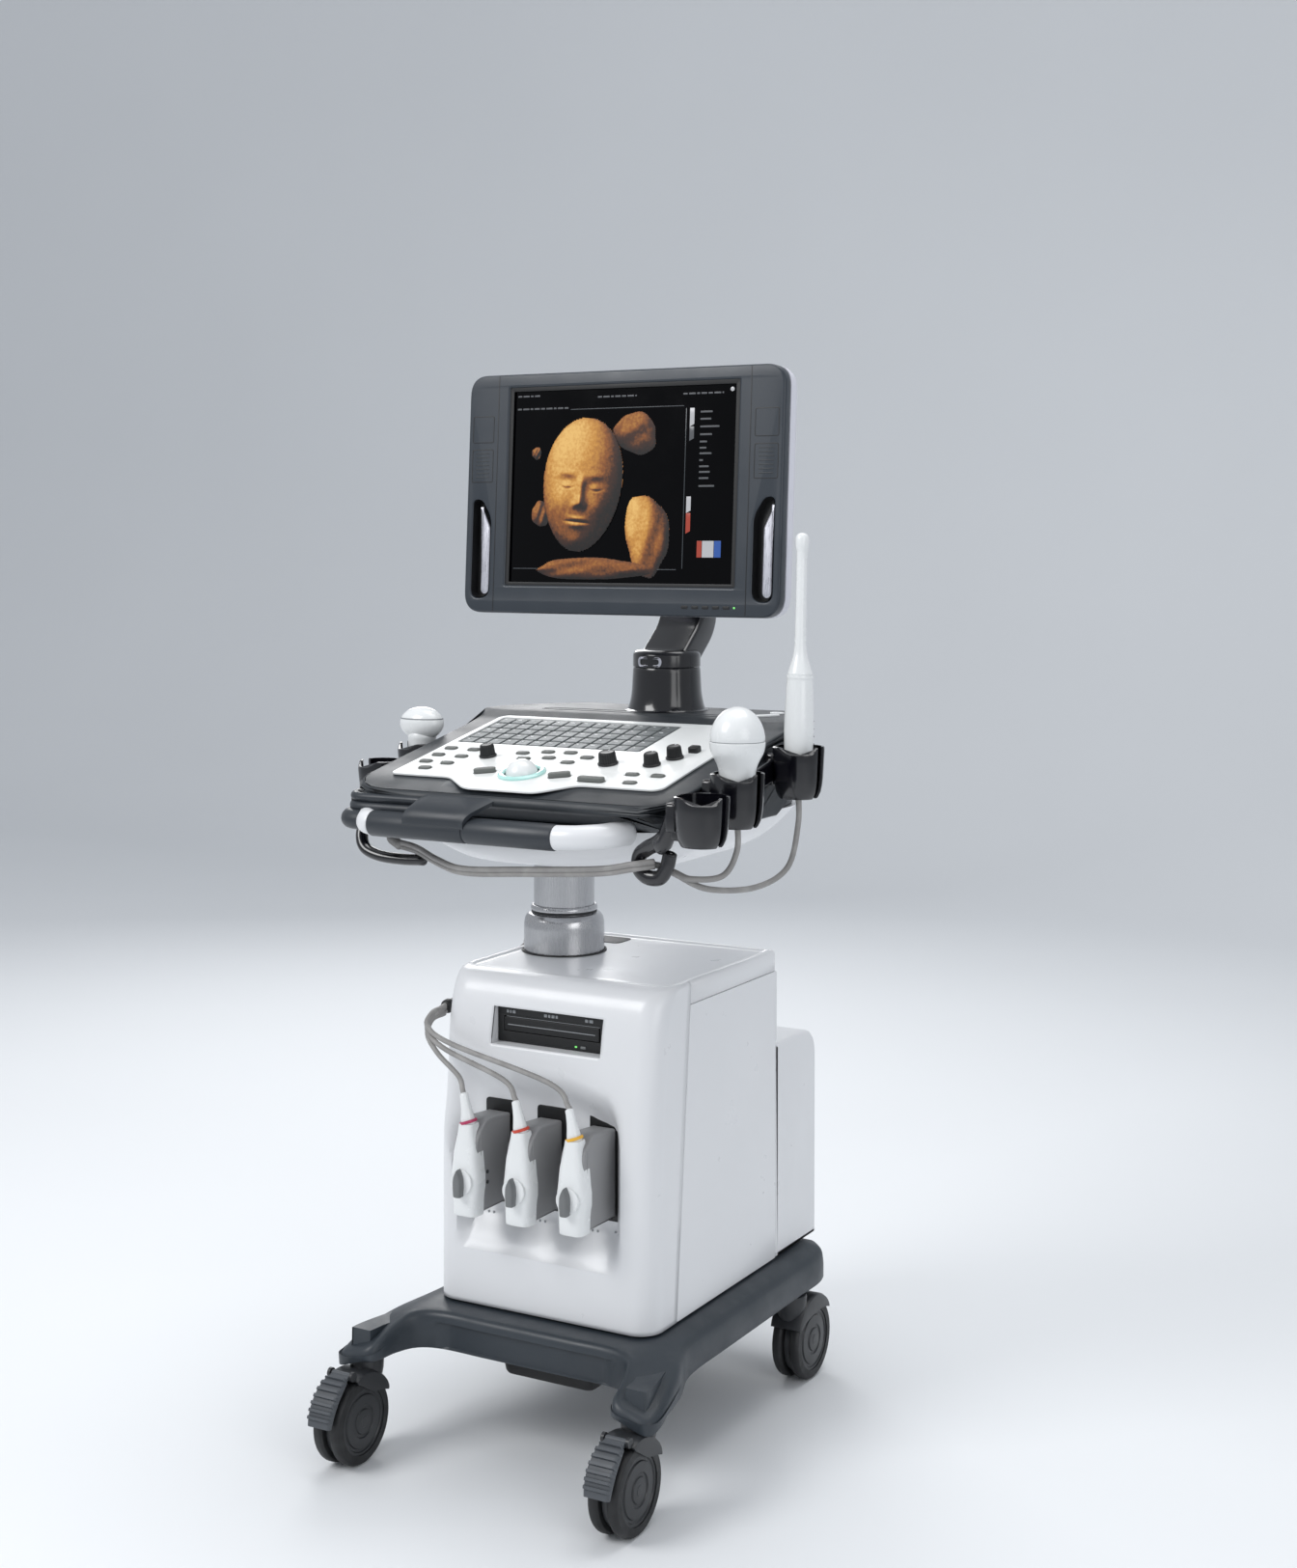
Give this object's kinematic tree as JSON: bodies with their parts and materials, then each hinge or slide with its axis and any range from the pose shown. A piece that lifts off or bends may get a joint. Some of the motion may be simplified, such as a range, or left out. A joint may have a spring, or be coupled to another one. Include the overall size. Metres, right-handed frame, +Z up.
{
  "type": "ultrasound machine",
  "caption": "Trolley ultrasound machine: castered base, white cabinet, lifting column, swivelling control console with probe holders and a tilting display.",
  "frame": {"origin": "on the floor, on the centre plane of the cabinet and console, midway between the foremost point of the front brake pedals and the back of the rear cover", "axes": "+Z up; -Y towards the operator at the front; +X towards the operator's right-hand side"},
  "size_m": [0.574, 0.6216, 1.2742],
  "materials": {
    "white_shell": "satin-gloss moulded plastic, cool white",
    "faceplate_white": "fine matte grain",
    "monitor_shell": "satin, faintly lavender white",
    "slate_paint": "semi-matte slate coat with a fine texture",
    "dark_plastic": "soft matte charcoal",
    "bezel_plastic": "satin blue-grey",
    "black_gloss": "glossy navy black",
    "black_plastic": "matte black",
    "button_grey": "silky silicone rubber",
    "key_grey": "matte keycaps",
    "plug_grey": "matte grey",
    "probe_white": "smooth medical plastic",
    "ring_turquoise": "translucent pale turquoise",
    "column_steel": "satin, brushed round the tube",
    "sheet_steel": "folded sheet",
    "circuit_board": "solder-mask green",
    "screen_glass": "dark display glass",
    "wheel_rubber": "matte tread over black hubs",
    "pedal_grey": "ribbed grey plastic",
    "cable_grey": "soft grey sheath"
  },
  "bodies": {
    "cart": {"base_frame": "slate_paint", "underbody_tray": "black_plastic", "front_cover": "white_shell", "right_side_panel": "white_shell", "left_side_panel": "white_shell", "top_cover": "white_shell", "rear_cover": "white_shell", "chassis_frame": "sheet_steel", "power_supply": "sheet_steel", "card_cage": "circuit_board", "drive_body": "black_plastic", "connector_panel": "black_plastic", "probe_plug_1": "plug_grey", "probe_plug_2": "plug_grey", "probe_plug_3": "plug_grey", "plug_cables": "cable_grey", "column_sleeve": "column_steel"},
    "disc_tray": {"disc_tray": "black_plastic"},
    "plug_lock_1": {"plug_lock_1": "plug_grey"},
    "plug_lock_2": {"plug_lock_2": "plug_grey"},
    "plug_lock_3": {"plug_lock_3": "plug_grey"},
    "lift": {"lift_tube": "column_steel"},
    "console": {"console_upper_shell": "dark_plastic", "console_lower_shell": "white_shell", "front_handle": "dark_plastic", "left_grip": "white_shell", "right_grip": "white_shell", "faceplate": "faceplate_white", "button_mat": "button_grey", "key_mat": "key_grey", "trackball_ring": "ring_turquoise", "right_holder": "black_gloss", "left_holder": "black_gloss", "probe_cables": "cable_grey", "monitor_post": "black_gloss"},
    "trackball": {"trackball": "probe_white"},
    "knob_1": {"knob_1": "black_plastic"},
    "knob_2": {"knob_2": "black_plastic"},
    "knob_3": {"knob_3": "black_plastic"},
    "knob_4": {"knob_4": "black_plastic"},
    "paddle_1": {"paddle_1": "button_grey"},
    "paddle_2": {"paddle_2": "button_grey"},
    "wide_key": {"wide_key": "button_grey"},
    "volume_probe": {"volume_probe": "probe_white"},
    "cavity_probe": {"cavity_probe": "probe_white"},
    "convex_probe": {"convex_probe": "probe_white"},
    "arm": {"monitor_arm": "black_gloss"},
    "display": {"monitor_bezel": "bezel_plastic", "lcd_panel": "screen_glass", "monitor_back_shell": "monitor_shell"},
    "front_left_caster": {"front_left_caster_housing": "wheel_rubber"},
    "front_left_wheels": {"front_left_caster_wheels": "wheel_rubber"},
    "front_right_caster": {"front_right_caster_housing": "wheel_rubber"},
    "front_right_wheels": {"front_right_caster_wheels": "wheel_rubber"},
    "rear_left_caster": {"rear_left_caster_housing": "wheel_rubber"},
    "rear_left_wheels": {"rear_left_caster_wheels": "wheel_rubber"},
    "rear_right_caster": {"rear_right_caster_housing": "wheel_rubber"},
    "rear_right_wheels": {"rear_right_caster_wheels": "wheel_rubber"},
    "front_left_pedal": {"front_left_brake_pedal": "pedal_grey"},
    "front_right_pedal": {"front_right_brake_pedal": "pedal_grey"}
  },
  "joints": [
    {"name": "console_lift", "type": "slide", "parent": "cart", "child": "lift", "axis": [0, 0, 1], "range_m": [-0.05, 0.1]},
    {"name": "console_swivel", "type": "hinge", "parent": "lift", "child": "console", "pos_m": [-0.09, 0.074, 0.7], "axis": [0, 0, 1], "range_deg": [-30, 30]},
    {"name": "arm_swivel", "type": "hinge", "parent": "console", "child": "arm", "pos_m": [0, 0.177, 0.905], "axis": [0, 0, 1], "range_deg": [-30, 30]},
    {"name": "display_tilt", "type": "hinge", "parent": "arm", "child": "display", "pos_m": [0, 0.238, 1.085], "axis": [1, 0, 0], "range_deg": [-20, 10]},
    {"name": "disc_tray_slide", "type": "slide", "parent": "cart", "child": "disc_tray", "axis": [0, -1, 0], "range_m": [0, 0.1]},
    {"name": "cavity_probe_lift", "type": "slide", "parent": "console", "child": "cavity_probe", "axis": [0, 0.0349, 0.9994], "range_m": [0, 0.12]},
    {"name": "convex_probe_lift", "type": "slide", "parent": "console", "child": "convex_probe", "axis": [0, 0, 1], "range_m": [0, 0.12]},
    {"name": "volume_probe_lift", "type": "slide", "parent": "console", "child": "volume_probe", "axis": [0, 0, 1], "range_m": [0, 0.12]},
    {"name": "trackball_roll", "type": "hinge", "parent": "console", "child": "trackball", "pos_m": [-0.014, -0.14059, 0.79614], "axis": [1, 0, 0], "continuous": true},
    {"name": "knob_1_turn", "type": "hinge", "parent": "console", "child": "knob_1", "pos_m": [-0.096, -0.08808, 0.8095], "axis": [0, -0.2033, 0.9791], "continuous": true},
    {"name": "knob_2_turn", "type": "hinge", "parent": "console", "child": "knob_2", "pos_m": [0.071, -0.09008, 0.80908], "axis": [0, -0.2033, 0.9791], "continuous": true},
    {"name": "knob_3_turn", "type": "hinge", "parent": "console", "child": "knob_3", "pos_m": [0.126, -0.08508, 0.81012], "axis": [0, -0.2033, 0.9791], "continuous": true},
    {"name": "knob_4_turn", "type": "hinge", "parent": "console", "child": "knob_4", "pos_m": [0.14, -0.05608, 0.81615], "axis": [0, -0.2033, 0.9791], "continuous": true},
    {"name": "paddle_1_press", "type": "slide", "parent": "console", "child": "paddle_1", "axis": [0, 0.2033, -0.9791], "range_m": [0, 0.0015]},
    {"name": "paddle_2_press", "type": "slide", "parent": "console", "child": "paddle_2", "axis": [0, 0.2033, -0.9791], "range_m": [0, 0.0015]},
    {"name": "wide_key_press", "type": "slide", "parent": "console", "child": "wide_key", "axis": [0, 0.2033, -0.9791], "range_m": [0, 0.0015]},
    {"name": "plug_lock_1_turn", "type": "hinge", "parent": "cart", "child": "plug_lock_1", "pos_m": [-0.073, -0.1794, 0.325], "axis": [0, 1, 0], "range_deg": [0, 90]},
    {"name": "plug_lock_2_turn", "type": "hinge", "parent": "cart", "child": "plug_lock_2", "pos_m": [-0.001, -0.1794, 0.325], "axis": [0, 1, 0], "range_deg": [0, 90]},
    {"name": "plug_lock_3_turn", "type": "hinge", "parent": "cart", "child": "plug_lock_3", "pos_m": [0.071, -0.1794, 0.325], "axis": [0, 1, 0], "range_deg": [0, 90]},
    {"name": "pedal_front_left_press", "type": "hinge", "parent": "front_left_caster", "child": "front_left_pedal", "pos_m": [-0.183, -0.26254, 0.10738], "axis": [1, 0, 0], "range_deg": [0, 5]},
    {"name": "pedal_front_right_press", "type": "hinge", "parent": "front_right_caster", "child": "front_right_pedal", "pos_m": [0.183, -0.26254, 0.10738], "axis": [1, 0, 0], "range_deg": [0, 5]},
    {"name": "wheel_front_left_swivel", "type": "hinge", "parent": "cart", "child": "front_left_caster", "pos_m": [-0.183, -0.215, 0.05], "axis": [0, 0, 1], "continuous": true},
    {"name": "wheel_front_left_roll", "type": "hinge", "parent": "front_left_caster", "child": "front_left_wheels", "pos_m": [-0.183, -0.245, 0.05], "axis": [1, 0, 0], "continuous": true},
    {"name": "wheel_front_right_swivel", "type": "hinge", "parent": "cart", "child": "front_right_caster", "pos_m": [0.183, -0.215, 0.05], "axis": [0, 0, 1], "continuous": true},
    {"name": "wheel_front_right_roll", "type": "hinge", "parent": "front_right_caster", "child": "front_right_wheels", "pos_m": [0.183, -0.245, 0.05], "axis": [1, 0, 0], "continuous": true},
    {"name": "wheel_rear_left_swivel", "type": "hinge", "parent": "cart", "child": "rear_left_caster", "pos_m": [-0.16, 0.213, 0.05], "axis": [0, 0, 1], "continuous": true},
    {"name": "wheel_rear_left_roll", "type": "hinge", "parent": "rear_left_caster", "child": "rear_left_wheels", "pos_m": [-0.16, 0.243, 0.05], "axis": [1, 0, 0], "continuous": true},
    {"name": "wheel_rear_right_swivel", "type": "hinge", "parent": "cart", "child": "rear_right_caster", "pos_m": [0.16, 0.213, 0.05], "axis": [0, 0, 1], "continuous": true},
    {"name": "wheel_rear_right_roll", "type": "hinge", "parent": "rear_right_caster", "child": "rear_right_wheels", "pos_m": [0.16, 0.243, 0.05], "axis": [1, 0, 0], "continuous": true}
  ]
}
